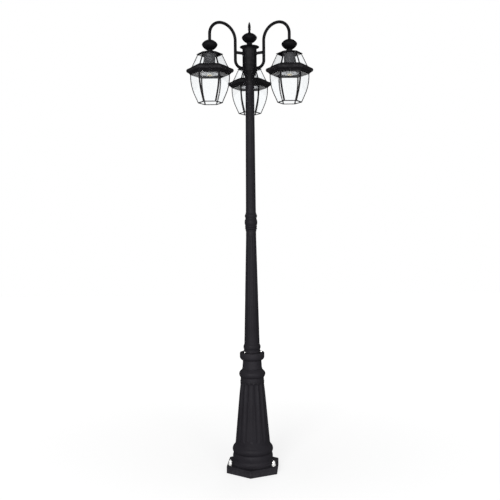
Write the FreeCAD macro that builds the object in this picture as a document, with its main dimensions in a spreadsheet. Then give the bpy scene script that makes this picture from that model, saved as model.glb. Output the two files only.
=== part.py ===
import FreeCAD, Part

import math
import os

import Sketcher
from FreeCAD import Placement, Rotation, Vector

# A garden lamp post: a fluted cast foot, a fluted pole in two lengths and a head that carries
# three lanterns on goosenecks. Millimetres and degrees; +Z is up, and the origin lies on the
# pole's axis at the underside of the foot. The front of the post faces -Y.

doc = FreeCAD.newDocument("LampPost")

DIMENSIONS = {
    # foot casting: hexagonal flange, round plinth, fluted cone and clamp collar
    "foot_turn": -5,
    "foot_across_flats": 256,
    "foot_height": 36,
    "foot_corner_radius": 5.5,
    "foot_edge_chamfer": 3,
    "foot_cavity_radius": 107,
    "foot_cavity_height": 28,
    "casting_wall": 7.5,
    "plinth_flare_radius": 114,
    "plinth_flare_top": 60,
    "plinth_radius": 102.6,
    "plinth_top": 73,
    "base_groove_radius": 98.7,
    "base_groove_height": 91,
    "base_bead_curve": 25.6,
    "base_bead_top_radius": 95.3,
    "base_bead_top": 128,
    "cone_bottom_radius": 89.1,
    "cone_bottom": 138,
    "cone_top_radius": 58.9,
    "cone_top": 478,
    "shoulder_curve": 21.3,
    "shoulder_radius": 63.5,
    "shoulder_height": 507,
    "throat_bottom_radius": 50.6,
    "throat_bottom": 520,
    "throat_top_radius": 47.6,
    "throat_top": 565,
    "collar_radius": 63,
    "collar_curve": 19,
    "collar_widest": 584,
    "collar_top": 605,
    "collar_edge": 1.8,
    "lip_radius": 43.5,
    "lip_top": 614,
    "cone_flute_top": 18.5,
    "cone_flute_bottom": 25,
    "anchor_circle_radius": 125,
    "anchor_hole_radius": 6.5,
    "anchor_nut_flats": 19,
    "anchor_nut_height": 11,
    "anchor_dome_radius": 9,
    "anchor_thread_radius": 5.1,
    "anchor_thread_depth": 17,
    "washer_radius": 10.5,
    "washer_thickness": 2.5,
    "set_screw_height": 609.3,
    "set_screw_swing": -13,
    "set_screw_radius": 3,
    "set_screw_head_radius": 4.2,
    "set_screw_head_length": 9,
    "fit_gap": 0.05,
    # pole: lower and upper lengths, joined by a ringed coupling over an inner sleeve
    "flute_count": 16,
    "pole_wall": 3,
    "tail_radius": 38.7,
    "tail_bottom": 484,
    "pole_clearance": 0.3,
    "ankle_radius": 42.8,
    "ankle_neck_radius": 41.5,
    "ankle_bead_curve": 28.4,
    "ankle_bead_bottom": 621,
    "ankle_bead_top": 646,
    "lower_shaft_radius": 39.3,
    "lower_shaft_bottom": 648,
    "lower_flute_top": 8.3,
    "lower_flute_bottom": 13.4,
    "joint_radius": 25.6,
    "joint_bottom": 1220,
    "joint_middle": 1263,
    "joint_top": 1312,
    "sleeve_radius": 22.3,
    "sleeve_bottom": 1190,
    "sleeve_length": 150,
    "coupling_bottom": 1223,
    "coupling_ring_radius": 28.6,
    "coupling_barrel_curve": 40,
    "coupling_waist_radius": 28.3,
    "coupling_height": 98,
    "upper_shaft_top_radius": 22.1,
    "upper_shaft_neck": 1962,
    "upper_shaft_top": 2008,
    "upper_flute_top": 6,
    "upper_flute_bottom": 8.1,
    # head: hollow hub, lid, turned finial
    "hub_radius": 36,
    "hub_neck_radius": 25.4,
    "hub_bottom": 1962,
    "hub_neck_top": 2007,
    "hub_shoulder": 2034,
    "hub_top": 2142,
    "hub_wall": 6,
    "lid_radius": 49,
    "lid_plug_depth": 6,
    "lid_top": 2168.5,
    "thread_radius": 5,
    "knob_radius": 38.3,
    "knob_neck_radius": 14.3,
    "knob_below": 33,
    "knob_above": 23,
    "knob_land_radius": 9,
    "finial_height": 2201.5,
    "finial_stem": 30,
    "spike_peg_radius": 3.5,
    "spike_peg_length": 12,
    "spike_radius": 7.2,
    "spike_length": 57.5,
    # goosenecks and braces
    "arm_left": 210,
    "arm_right": 330,
    "arm_back": 90,
    "arm_radius": 7.5,
    "arm_bore": 5.05,
    "arm_root_height": 2045,
    "arm_heel_radius": 35,
    "arm_rise_reach": 82,
    "arm_inner_bend": 80,
    "arm_outer_bend": 63,
    "arm_inner_spring": 2176,
    "arm_end_height": 2114,
    "lantern_reach": 225,
    "arm_boss_radius": 10.5,
    "brace_height": 2119,
    "brace_radius": 7.3,
    # lantern, measured to the flats of its hexagon
    "lantern_running_gap": 0.08,
    "knob_height": 2140,
    "roof_crown": 17.5,
    "roof_top": 2107,
    "roof_eave": 55.4,
    "roof_eave_height": 2093,
    "sheet_thickness": 1.6,
    "frame_thickness": 1.4,
    "upper_rib_flange": 4,
    "lower_rib_flange": 5,
    "glass_thickness": 3,
    "glass_inset": 0.1,
    "pane_saw": 0.8,
    "upper_frame_top": 53.2,
    "upper_frame_crown": 2091,
    "upper_frame_foot": 77.2,
    "brim_top": 2033,
    "brim_shelf": 79,
    "brim_tier": 82.6,
    "brim_tier_height": 2025.5,
    "brim_lip_height": 2020,
    "brim_nose": 101,
    "brim_nose_height": 2012.5,
    "brim_nose_below": 11.5,
    "brim_nose_above": 9.5,
    "brim_bottom": 1994,
    "brim_ledge": 76,
    "brim_inside": 79,
    "cage_radius": 84.4,
    "cage_curve": 250,
    "cage_curve_start": 1985,
    "cage_curve_drop": 90,
    "cage_foot": 52.6,
    "cage_bottom": 1858.2,
    "ring_inside": 47.5,
    "ring_height": 3.4,
    "reflector_crown": 40,
    "reflector_rise": 5,
    "reflector_seat": 1993.2,
    "reflector_thickness": 1.2,
    "housing_radius": 27,
    "housing_shoulder": 2096,
    "lock_nut_flats": 17,
    "lock_nut_height": 6,
    "nipple_bottom": 2088,
    "nipple_top": 2132,
    "socket_radius": 17,
    "socket_bore": 13.2,
    "socket_bore_depth": 27,
    "socket_mouth": 1990,
    "socket_top": 2048,
    "socket_flange": 22,
}

HALF_SIDE = math.tan(math.radians(30))
CORNER = 1 / math.cos(math.radians(30))
FULL_TURN = 360
HEXAGON = 6
TRIPLE = 3


class Size:
    """A number that remembers the sheet expression it comes from, so both stay in step."""

    def __init__(self, number, text):
        self.number = number
        self.text = text

    def _with(self, other, sign, number, flipped=False):
        left, right = (other, self) if flipped else (self, other)
        texts = [side.text if isinstance(side, Size) else repr(side) for side in (left, right)]
        return Size(number, f"({texts[0]} {sign} {texts[1]})")

    def __add__(self, other):
        return self._with(other, "+", self.number + float(other))

    def __sub__(self, other):
        return self._with(other, "-", self.number - float(other))

    def __radd__(self, other):
        return self + other

    def __rmul__(self, other):
        return self * other

    def __rsub__(self, other):
        return self._with(other, "-", float(other) - self.number, flipped=True)

    def __mul__(self, other):
        return self._with(other, "*", self.number * float(other))

    def root(self):
        return Size(math.sqrt(self.number), f"sqrt({self.text})")

    def __truediv__(self, other):
        return self._with(other, "/", self.number / float(other))

    def __float__(self):
        return float(self.number)


class Sheet:
    """The spreadsheet of driving dimensions; each word of it is an attribute here."""

    def __init__(self, dimensions):
        self.cells = doc.addObject("Spreadsheet::Sheet", "Sizes")
        for row, (word, number) in enumerate(dimensions.items(), start=1):
            self.cells.set(f"A{row}", word)
            self.cells.set(f"B{row}", str(number))
            self.cells.setAlias(f"B{row}", word)
        doc.recompute()

    def __getattr__(self, word):
        return Size(float(self.cells.get(word)), f"Sizes.{word}")


size = Sheet(DIMENSIONS)
parts = []


def part_body(label, turn=None, reach=None):
    """An empty body for one sub-part, turned about the pole's axis and moved out by reach."""
    body = doc.addObject("PartDesign::Body", label)
    body.Label = label
    body.AllowCompound = True
    if turn is not None:
        body.Placement = Placement(Vector(), Rotation(Vector(0, 0, 1), float(turn)))
        body.setExpression("Placement.Rotation.Angle", turn.text)
    if reach is not None:
        body.setExpression("Placement.Base.x", f"{reach.text} * cos({turn.text})")
        body.setExpression("Placement.Base.y", f"{reach.text} * sin({turn.text})")
    parts.append(body)
    return body


def origin_of(body, role):
    return next(feature for feature in body.Origin.OriginFeatures if feature.Role == role)


def add_sketch(body, role, lift=None, swing=None):
    """A sketch on one of the body's own origin planes, or lifted off it along its normal.
    An upright one may be swung about the vertical axis."""
    sketch = body.newObject("Sketcher::SketchObject", body.Label + "_sketch")
    sketch.AttachmentSupport = [(origin_of(body, role), "")]
    sketch.MapMode = "FlatFace"
    if lift is not None:
        sketch.setExpression("AttachmentOffset.Base.z", lift.text)
    if swing is not None:
        sketch.AttachmentOffset = Placement(Vector(), Rotation(Vector(0, 1, 0), float(swing)))
        sketch.setExpression("AttachmentOffset.Rotation.Angle", swing.text)
    return sketch


def bind(sketch, constraint, measure):
    """Adds a dimension and ties it to the sheet."""
    index = sketch.addConstraint(constraint)
    if isinstance(measure, Size):
        sketch.setExpression(f"Constraints[{index}]", measure.text)


def pin_point(sketch, edge, end, x, y):
    """Holds one end of an edge at a place measured from the sketch's origin."""
    for measure, kind, axis in ((x, "DistanceX", -2), (y, "DistanceY", -1)):
        number = float(measure)
        if number == 0:
            sketch.addConstraint(Sketcher.Constraint("PointOnObject", edge, end, axis))
        elif number > 0:
            bind(sketch, Sketcher.Constraint(kind, -1, 1, edge, end, number), measure)
        else:
            away = measure * -1
            bind(sketch, Sketcher.Constraint(kind, edge, end, -1, 1, -number), away)


def left_arc(x, y, radius):
    """A step of an outline: an arc that bends to the left of the way it runs."""
    return x, y, radius, 1


def right_arc(x, y, radius):
    """A step of an outline: an arc that bends to the right of the way it runs."""
    return x, y, radius, -1


def arc_between(start, end, radius, bend):
    """The arc through two points with its centre to the left (1) or the right (-1)."""
    chord = end - start
    across = Vector(-chord.y, chord.x, 0).normalize() * bend
    depth = math.sqrt(max(radius**2 - (chord.Length / 2) ** 2, 0))
    centre = (start + end) * 0.5 + across * depth
    first, last = (start, end) if bend > 0 else (end, start)
    angles = [math.atan2(p.y - centre.y, p.x - centre.x) for p in (first, last)]
    if angles[1] < angles[0]:
        angles[1] += 2 * math.pi
    circle = Part.Circle(centre, Vector(0, 0, 1), radius)
    return Part.ArcOfCircle(circle, angles[0], angles[1])


def add_outline(sketch, *steps, closed=True):
    """Straight runs and arcs from point to point, each point held by the sheet."""
    corners = [(step[0], step[1]) for step in steps]
    places = [Vector(float(x), float(y), 0) for x, y in corners]
    runs = list(steps[1:]) + ([steps[0]] if closed else [])
    ends = []
    for number, step in enumerate(runs):
        start, end = places[number], places[(number + 1) % len(places)]
        bend = step[3] if len(step) == 4 else 0
        if bend:
            edge = sketch.addGeometry(arc_between(start, end, float(step[2]), bend), False)
        else:
            edge = sketch.addGeometry(Part.LineSegment(start, end), False)
        ends.append((edge, 2, 1) if bend < 0 else (edge, 1, 2))
        if ends[:-1]:
            before, _, last = ends[-2]
            sketch.addConstraint(Sketcher.Constraint("Coincident", before, last, edge, ends[-1][1]))
        pin_point(sketch, edge, ends[-1][1], *corners[number])
        if bend:
            bind(sketch, Sketcher.Constraint("Radius", edge, float(step[2])), step[2])
    first, last = ends[0], ends[-1]
    if closed:
        joint = Sketcher.Constraint("Coincident", last[0], last[2], first[0], first[1])
        sketch.addConstraint(joint)
    else:
        pin_point(sketch, last[0], last[2], *corners[-1])


def add_circle(sketch, x, y, radius):
    circle = Part.Circle(Vector(float(x), float(y), 0), Vector(0, 0, 1), float(radius))
    edge = sketch.addGeometry(circle, False)
    pin_point(sketch, edge, 3, x, y)
    bind(sketch, Sketcher.Constraint("Radius", edge, float(radius)), radius)


def add_hexagon(sketch, x, y, flats):
    """A hexagon round a point, with two of its sides square to the sketch's x axis."""
    half = flats / 2
    corner = half * CORNER
    side = half * HALF_SIDE
    add_outline(sketch, (x + half, y - side), (x + half, y + side), (x, y + corner),
                (x - half, y + side), (x - half, y - side), (x, y - corner))


def add_feature(body, kind, sketch, **values):
    """A feature on a sketch. Values that are sizes are tied to the sheet."""
    feature = body.newObject("PartDesign::" + kind, f"{body.Label}_{kind}")
    feature.Profile = (sketch, [""])
    for name, value in values.items():
        if isinstance(value, Size):
            setattr(feature, name, float(value))
            feature.setExpression(name, value.text)
        else:
            setattr(feature, name, value)
    return feature


def turn_profile(body, *steps, role="XZ_Plane", kind="Revolution"):
    """A closed half profile turned about the vertical axis; Groove cuts it instead."""
    sketch = add_sketch(body, role)
    add_outline(sketch, *steps)
    return add_feature(body, kind, sketch, ReferenceAxis=(sketch, ["V_Axis"]), Angle=FULL_TURN)


def turn_about_line(body, axis, *steps, role="XZ_Plane", kind="Revolution", swing=None):
    """A closed half profile turned about a line of its own, from axis[0] to axis[1]."""
    sketch = add_sketch(body, role, swing=swing)
    line = Part.LineSegment(*[Vector(float(x), float(y), 0) for x, y in axis])
    edge = sketch.addGeometry(line, True)
    for end, place in enumerate(axis, start=1):
        pin_point(sketch, edge, end, *place)
    add_outline(sketch, *steps)
    return add_feature(body, kind, sketch, ReferenceAxis=(sketch, ["Axis0"]), Angle=FULL_TURN)


def repeat_around(body, count, *features):
    """Repeats features evenly about the vertical axis."""
    pattern = body.newObject("PartDesign::PolarPattern", body.Label + "_around")
    pattern.Originals = list(features)
    pattern.Axis = (origin_of(body, "Z_Axis"), [""])
    pattern.Angle = FULL_TURN
    if isinstance(count, Size):
        pattern.setExpression("Occurrences", count.text)
    else:
        pattern.Occurrences = count
    body.Tip = pattern
    return pattern


def hexagon_ring(body, *steps):
    """A profile carried round a hexagon with mitred corners; x is measured to its flats."""
    profile = add_sketch(body, "XZ_Plane")
    add_outline(profile, *steps)
    flat, level = steps[0][0], steps[0][1]
    corner, side = flat * CORNER, flat * HALF_SIDE
    spine = add_sketch(body, "XY_Plane", lift=level)
    add_outline(spine, (flat, 0), (flat, side), (0, corner), (flat * -1, side),
                (flat * -1, side * -1), (0, corner * -1), (flat, side * -1))
    edges = [f"Edge{number}" for number in range(1, HEXAGON + 2)]
    return add_feature(body, "AdditivePipe", profile, Spine=(spine, edges),
                       Transition="Right corner")


def cut_through(body, sketch):
    """Cuts a sketch on the level plane through everything above and below it."""
    return add_feature(body, "Pocket", sketch, Type="ThroughAll", SideType="Symmetric")


def prism(body, sketch, height):
    return add_feature(body, "Pad", sketch, Length=height)


def flutes(body, top, bottom, radius_top, radius_bottom, count):
    """Round-ended flutes down a tapered shaft. Each is a slim cone laid on a slanted line,
    from top (x, height) to bottom, and turned about that line to scoop the surface."""
    sketch = add_sketch(body, "XZ_Plane")
    high = Vector(float(top[0]), float(top[1]), 0)
    low = Vector(float(bottom[0]), float(bottom[1]), 0)
    along = (low - high).normalize()
    inward = Vector(along.y, -along.x, 0)
    wide, narrow = float(radius_bottom), float(radius_top)
    corners = [high - along * narrow, high + inward * narrow, low + inward * wide, low + along * wide]
    axis = sketch.addGeometry(Part.LineSegment(high, low), True)
    pin_point(sketch, axis, 1, *top)
    pin_point(sketch, axis, 2, *bottom)
    scoop = [
        sketch.addGeometry(arc_between(corners[0], corners[1], narrow, 1), False),
        sketch.addGeometry(Part.LineSegment(corners[1], corners[2]), False),
        sketch.addGeometry(arc_between(corners[2], corners[3], wide, 1), False),
        sketch.addGeometry(Part.LineSegment(corners[3], corners[0]), False),
    ]
    for kind, edge in zip(("Tangent", "Tangent", "Coincident", "Coincident"), range(4)):
        following = scoop[(edge + 1) % 4]
        sketch.addConstraint(Sketcher.Constraint(kind, scoop[edge], 2, following, 1))
    sketch.addConstraint(Sketcher.Constraint("Coincident", scoop[0], 3, axis, 1))
    sketch.addConstraint(Sketcher.Constraint("Coincident", scoop[2], 3, axis, 2))
    bind(sketch, Sketcher.Constraint("Radius", scoop[0], narrow), radius_top)
    bind(sketch, Sketcher.Constraint("Radius", scoop[2], wide), radius_bottom)
    sketch.addConstraint(Sketcher.Constraint("PointOnObject", scoop[3], 1, axis))
    sketch.addConstraint(Sketcher.Constraint("PointOnObject", scoop[3], 2, axis))
    scooped = add_feature(body, "Groove", sketch, ReferenceAxis=(sketch, ["Axis0"]), Angle=FULL_TURN)
    return repeat_around(body, count, scooped)


def radial_hole(body, height, radius, inside, outside, swing=None):
    """A round hole bored sideways along the body's own x axis, or swung away from it."""
    return turn_about_line(
        body, ((inside, height), (outside, height)),
        (inside, height), (outside, height), (outside, height + radius), (inside, height + radius),
        kind="Groove", swing=swing,
    )


def edges_where(feature, wanted):
    """Names of the edges whose middle and length pass a test."""
    doc.recompute()
    edges = enumerate(feature.Shape.Edges, start=1)
    return [f"Edge{number}" for number, edge in edges if wanted(edge.BoundBox)]


def dress(body, kind, feature, edges, **values):
    """A fillet or chamfer on the named edges of a feature."""
    dressed = body.newObject("PartDesign::" + kind, f"{body.Label}_{kind}")
    dressed.Base = (feature, edges)
    for name, value in values.items():
        setattr(dressed, name, float(value))
        dressed.setExpression(name, value.text)
    return dressed


def foot_flange(body):
    """The hexagonal foot plate, with rounded corners and an eased upper edge."""
    plan = add_sketch(body, "XY_Plane")
    add_hexagon(plan, 0, 0, size.foot_across_flats)
    add_circle(plan, 0, 0, (size.foot_cavity_radius + size.plinth_flare_radius) / 2)
    plate = prism(body, plan, size.foot_height)
    upright = edges_where(plate, lambda box: box.XLength < 1 and box.YLength < 1 and box.ZLength > 1)
    rounded = dress(body, "Fillet", plate, upright, Radius=size.foot_corner_radius)
    cavity = float(size.plinth_flare_radius)
    rim = edges_where(rounded, lambda box: box.ZMin > 1 and box.Center.Length > cavity)
    return dress(body, "Chamfer", rounded, rim, Size=size.foot_edge_chamfer)


def foot_casting():
    """Hollow casting: foot plate, round plinth, fluted cone, shoulder and clamp collar."""
    body = part_body("foot_casting", turn=size.foot_turn)
    foot_flange(body)
    wall = size.casting_wall
    bore = size.tail_radius + size.pole_clearance
    turn_profile(
        body,
        (size.foot_cavity_radius, 0),
        (size.plinth_flare_radius, 0),
        (size.plinth_flare_radius, size.foot_height + 6),
        right_arc(size.plinth_radius, size.plinth_flare_top, 22),
        (size.plinth_radius, size.plinth_top),
        left_arc(size.base_groove_radius, size.base_groove_height - 2, 35),
        (size.base_groove_radius, size.base_groove_height + 2),
        left_arc(size.base_bead_top_radius, size.base_bead_top, size.base_bead_curve),
        (size.cone_bottom_radius, size.cone_bottom),
        (size.cone_top_radius, size.cone_top),
        left_arc(size.shoulder_radius, size.shoulder_height, size.shoulder_curve),
        (size.throat_bottom_radius, size.throat_bottom),
        (size.throat_top_radius, size.throat_top),
        left_arc(size.collar_radius, size.collar_widest, size.collar_curve),
        (size.collar_radius, size.collar_top - size.collar_edge),
        (size.collar_radius - size.collar_edge, size.collar_top),
        (size.lip_radius, size.collar_top),
        (size.lip_radius, size.lip_top),
        (bore, size.lip_top),
        (bore, size.tail_bottom - 4),
        (size.cone_top_radius - wall, size.cone_top - 12),
        (size.cone_bottom_radius - wall, size.cone_bottom + 2),
        (size.base_groove_radius - wall, size.base_bead_top - 6),
        (size.base_groove_radius - wall, size.plinth_flare_top - 14),
        (size.foot_cavity_radius, size.foot_cavity_height),
    )
    anchor = add_sketch(body, "XY_Plane")
    add_circle(anchor, 0, size.anchor_circle_radius, size.anchor_hole_radius)
    repeat_around(body, TRIPLE, cut_through(body, anchor))
    inside, outside = bore - 5, size.lip_radius + 5
    screw_hole = size.set_screw_radius + size.fit_gap
    hole = radial_hole(body, size.set_screw_height, screw_hole, inside, outside, size.set_screw_swing)
    repeat_around(body, TRIPLE, hole)
    flutes(body, (size.cone_top_radius + 15, 442), (size.cone_bottom_radius + 20, 168),
           size.cone_flute_top, size.cone_flute_bottom, size.flute_count)


def anchor_washers():
    body = part_body("anchor_washers", turn=size.foot_turn)
    plan = add_sketch(body, "XY_Plane", lift=size.foot_height)
    add_circle(plan, 0, size.anchor_circle_radius, size.washer_radius)
    add_circle(plan, 0, size.anchor_circle_radius, size.anchor_hole_radius + 0.2)
    repeat_around(body, TRIPLE, prism(body, plan, size.washer_thickness))


def anchor_nuts():
    """Acorn nuts: a hexagon with a domed cap over a blind thread."""
    body = part_body("anchor_nuts", turn=size.foot_turn)
    centre = size.anchor_circle_radius
    seat = size.foot_height + size.washer_thickness
    shoulder = seat + size.anchor_nut_height
    dome = size.anchor_dome_radius
    axis = ((centre, seat), (centre, shoulder + 18))
    plan = add_sketch(body, "XY_Plane", lift=seat)
    add_hexagon(plan, 0, centre, size.anchor_nut_flats)
    hexagon = prism(body, plan, size.anchor_nut_height)
    cap = turn_about_line(
        body, axis,
        (centre, seat + 1), (centre + dome, seat + 1), (centre + dome, shoulder + 6),
        left_arc(centre, shoulder + 6 + dome, dome),
        role="YZ_Plane",
    )
    thread = turn_about_line(
        body, axis,
        (centre, seat), (centre + size.anchor_thread_radius, seat),
        (centre + size.anchor_thread_radius, seat + size.anchor_thread_depth),
        (centre, seat + size.anchor_thread_depth + 2.5),
        role="YZ_Plane", kind="Groove",
    )
    repeat_around(body, TRIPLE, hexagon, cap, thread)


def collar_set_screws():
    """Round-headed clamp screws that stand out round the collar's lip."""
    body = part_body("collar_set_screws", turn=size.foot_turn)
    level, shank, head = size.set_screw_height, size.set_screw_radius, size.set_screw_head_radius
    tip = size.tail_radius + size.pole_clearance + 0.2
    face = size.lip_radius + size.set_screw_head_length
    screw = turn_about_line(
        body, ((tip, level), (face, level)),
        (tip, level), (face, level), (face, level + head - 2),
        left_arc(face - 2, level + head, 2.4), (size.lip_radius, level + head),
        (size.lip_radius, level + shank), (tip, level + shank),
        swing=size.set_screw_swing,
    )
    repeat_around(body, TRIPLE, screw)


def lower_shaft():
    """Lower pole tube, with a turned ankle that stands on the collar and a tail inside it."""
    body = part_body("lower_shaft")
    wall = size.pole_wall
    turn_profile(
        body,
        (size.tail_radius, size.tail_bottom),
        (size.tail_radius, size.lip_top),
        (size.ankle_radius, size.lip_top),
        (size.ankle_neck_radius, size.lip_top + 3.5),
        (size.ankle_neck_radius, size.ankle_bead_bottom),
        left_arc(size.ankle_neck_radius - 0.5, size.ankle_bead_top, size.ankle_bead_curve),
        (size.lower_shaft_radius, size.lower_shaft_bottom),
        (size.joint_radius, size.joint_bottom),
        (size.joint_radius, size.joint_middle),
        (size.sleeve_radius + size.fit_gap, size.joint_middle),
        (size.sleeve_radius + size.fit_gap, size.joint_bottom + 6),
        (size.lower_shaft_radius - wall, size.lower_shaft_bottom),
        (size.tail_radius - wall, size.lip_top),
        (size.tail_radius - wall, size.tail_bottom),
    )
    flutes(body, (size.joint_radius + 7.4, 1197), (size.lower_shaft_radius + 12.1, 681),
           size.lower_flute_top, size.lower_flute_bottom, size.flute_count)


def joining_sleeve():
    """Plain tube inside the pole that lines the two lengths up."""
    body = part_body("joining_sleeve")
    plan = add_sketch(body, "XY_Plane", lift=size.sleeve_bottom)
    add_circle(plan, 0, 0, size.sleeve_radius)
    add_circle(plan, 0, 0, size.sleeve_radius - size.pole_wall)
    prism(body, plan, size.sleeve_length)


def shaft_coupling():
    """Turned collar over the joint: three small rings, a barrel, a waist and a bead."""
    body = part_body("shaft_coupling")
    foot = size.coupling_bottom
    top = foot + size.coupling_height
    bore = size.joint_radius + 0.15
    ring, waist = size.coupling_ring_radius, size.coupling_waist_radius
    turn_profile(
        body,
        (bore, foot),
        (bore + 0.5, foot),
        left_arc(bore + 0.9, foot + 9.5, 12),
        (ring - 0.4, foot + 10.5),
        left_arc(ring, foot + 20.5, 7),
        left_arc(ring + 0.3, foot + 30.5, 8.5),
        left_arc(waist, foot + 65, size.coupling_barrel_curve),
        (waist, foot + 70),
        (waist + 0.4, foot + 70.5),
        left_arc(waist + 0.2, foot + 88, 16),
        (bore + 0.9, top - 4),
        (bore + 0.4, top),
        (bore, top),
    )


def upper_shaft():
    """Upper pole tube, from the joint to the neck of the head."""
    body = part_body("upper_shaft")
    inside = size.sleeve_radius + size.fit_gap
    turn_profile(
        body,
        (inside, size.joint_middle),
        (size.joint_radius, size.joint_middle),
        (size.joint_radius, size.joint_top),
        (size.upper_shaft_top_radius, size.upper_shaft_neck),
        (size.upper_shaft_top_radius, size.upper_shaft_top),
        (size.upper_shaft_top_radius - size.pole_wall, size.upper_shaft_top),
        (size.upper_shaft_top_radius - size.pole_wall, size.upper_shaft_neck),
        (inside, size.joint_middle + 80),
    )
    flutes(body, (size.upper_shaft_top_radius + 5.2, 1939), (size.joint_radius + 7.2, 1343),
           size.upper_flute_top, size.upper_flute_bottom, size.flute_count)


def head_hub():
    """Hollow hub that swells from a neck, with bosses for the arms and their braces."""
    body = part_body("head_hub", turn=size.arm_left)
    wall = size.hub_wall
    bore = size.upper_shaft_top_radius + size.fit_gap
    turn_profile(
        body,
        (bore, size.hub_bottom),
        (size.hub_neck_radius, size.hub_bottom),
        (size.hub_neck_radius, size.hub_neck_top),
        (size.hub_radius, size.hub_shoulder),
        (size.hub_radius, size.hub_top),
        (size.hub_radius - wall, size.hub_top),
        (size.hub_radius - wall, size.hub_shoulder - 4),
        (bore, size.upper_shaft_top),
    )
    inside, outside = size.hub_radius - wall + 1, size.hub_radius + 4
    for level, radius in (
        (size.arm_root_height, size.arm_radius),
        (size.brace_height, size.brace_radius),
    ):
        boss = turn_about_line(
            body, ((inside, level), (outside, level)),
            (inside, level), (outside, level), (outside, level + size.arm_boss_radius - 1),
            (outside - 1, level + size.arm_boss_radius), (inside, level + size.arm_boss_radius),
        )
        repeat_around(body, TRIPLE, boss)
        hole = radial_hole(body, level, radius + size.fit_gap, inside - 10, outside + 10)
        repeat_around(body, TRIPLE, hole)


def hub_cap():
    """Lid of the hub: a plug, a cove, a thin overhanging rim and a swept neck for the finial."""
    body = part_body("hub_cap")
    plug = size.hub_radius - size.hub_wall - size.fit_gap
    drill = size.thread_radius + size.fit_gap
    seat = size.hub_top
    rim = size.lid_radius
    turn_profile(
        body,
        (drill, seat - size.lid_plug_depth),
        (plug, seat - size.lid_plug_depth),
        (plug, seat),
        (size.hub_radius, seat),
        right_arc(rim - 2.4, seat + 10.2, 12),
        left_arc(rim, seat + 12.3, 2.4),
        left_arc(rim - 2.2, seat + 14.4, 2.4),
        (size.knob_neck_radius + 9, seat + 17),
        right_arc(size.knob_neck_radius, size.lid_top, 12),
        (drill, size.lid_top),
    )


def knob_surface(middle):
    """The outline of a flattened ball on a short neck, from the neck's foot to the top."""
    neck, widest = size.knob_neck_radius, size.knob_radius
    return (
        (neck, middle - size.knob_below),
        (neck, middle - 26),
        left_arc(widest - 1.1, middle - 4.8, 42),
        left_arc(widest - 1.7, middle + 5.3, 9.8),
        left_arc(size.knob_land_radius, middle + size.knob_above, 44.8),
    )


def finial_knob():
    """Flattened ball on top of the head, screwed into the lid by its own stem."""
    body = part_body("finial_knob")
    middle = size.finial_height
    stem = size.thread_radius
    peg = size.spike_peg_radius + size.fit_gap
    turn_profile(
        body,
        (0, middle - size.knob_below - size.finial_stem),
        (stem, middle - size.knob_below - size.finial_stem),
        (stem, middle - size.knob_below),
        *knob_surface(middle),
        (peg, middle + size.knob_above),
        (peg, middle + size.knob_above - size.spike_peg_length - 1),
        (0, middle + size.knob_above - size.spike_peg_length - 1),
    )


def finial_spike():
    """Slender turned point, waisted above its foot, with a peg that plugs into the ball."""
    body = part_body("finial_spike")
    foot = size.finial_height + size.knob_above
    wide, peg = size.spike_radius, size.spike_peg_radius
    tip = foot + size.spike_length - 2
    turn_profile(
        body,
        (0, foot - size.spike_peg_length),
        (peg, foot - size.spike_peg_length),
        (peg, foot),
        (wide + 0.6, foot),
        (wide + 0.3, foot + 2),
        right_arc(wide - 1.6, foot + 8, 9),
        right_arc(wide - 0.6, foot + 15, 9),
        left_arc(wide, foot + 18.5, 5),
        left_arc(wide - 1, foot + 21.5, 5),
        (wide - 1, foot + 23.5),
        left_arc(wide - 0.2, foot + 31, 14),
        left_arc(0.8, tip, 52),
        (0, tip + 0.4),
    )


def gooseneck(side, azimuth):
    """Bent tube from the hub: out, up, over the top and down into the lantern."""
    body = part_body(f"arm_{side}", turn=azimuth)
    start = size.hub_radius - size.hub_wall
    rise, reach = size.arm_rise_reach, size.lantern_reach
    inner, outer, heel = size.arm_inner_bend, size.arm_outer_bend, size.arm_heel_radius
    crest = size.arm_inner_spring + inner
    path = add_sketch(body, "XZ_Plane")
    add_outline(
        path,
        (start, size.arm_root_height),
        (rise - heel, size.arm_root_height),
        left_arc(rise, size.arm_root_height + heel, heel),
        (rise, size.arm_inner_spring),
        right_arc(rise + inner, crest, inner),
        right_arc(reach, crest - outer, outer),
        (reach, size.arm_end_height),
        closed=False,
    )
    section = add_sketch(body, "YZ_Plane", lift=start)
    add_circle(section, 0, size.arm_root_height, size.arm_radius)
    add_circle(section, 0, size.arm_root_height, size.arm_bore)
    add_feature(body, "AdditivePipe", section, Spine=(path, [f"Edge{n}" for n in range(1, 7)]))


def brace(side, azimuth):
    """Short rod from the hub to the rise of the gooseneck, hollowed to sit on the tube."""
    body = part_body(f"brace_{side}", turn=azimuth)
    start = size.hub_radius - size.hub_wall
    section = add_sketch(body, "YZ_Plane", lift=start)
    add_circle(section, 0, size.brace_height, size.brace_radius)
    prism(body, section, size.arm_rise_reach - start)
    saddle = add_sketch(body, "XY_Plane")
    add_circle(saddle, size.arm_rise_reach, 0, size.arm_radius + size.fit_gap)
    cut_through(body, saddle)


def nipple(side, azimuth):
    """Threaded tube from the end of the gooseneck down through the lantern's roof."""
    body = part_body(f"nipple_{side}", turn=azimuth, reach=size.lantern_reach)
    plan = add_sketch(body, "XY_Plane", lift=size.nipple_bottom)
    add_circle(plan, 0, 0, size.thread_radius)
    add_circle(plan, 0, 0, size.thread_radius - 1.5)
    prism(body, plan, size.nipple_top - size.nipple_bottom)


def lock_nut(side, azimuth):
    """Nut that clamps the lantern up against its knob."""
    body = part_body(f"lock_nut_{side}", turn=azimuth, reach=size.lantern_reach)
    plan = add_sketch(body, "XY_Plane", lift=housing_top() - size.lock_nut_height)
    add_hexagon(plan, 0, 0, size.lock_nut_flats)
    add_circle(plan, 0, 0, size.thread_radius + size.fit_gap)
    prism(body, plan, size.lock_nut_height)


def lantern_body(name, side, azimuth):
    return part_body(f"{name}_{side}", turn=azimuth, reach=size.lantern_reach)


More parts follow.
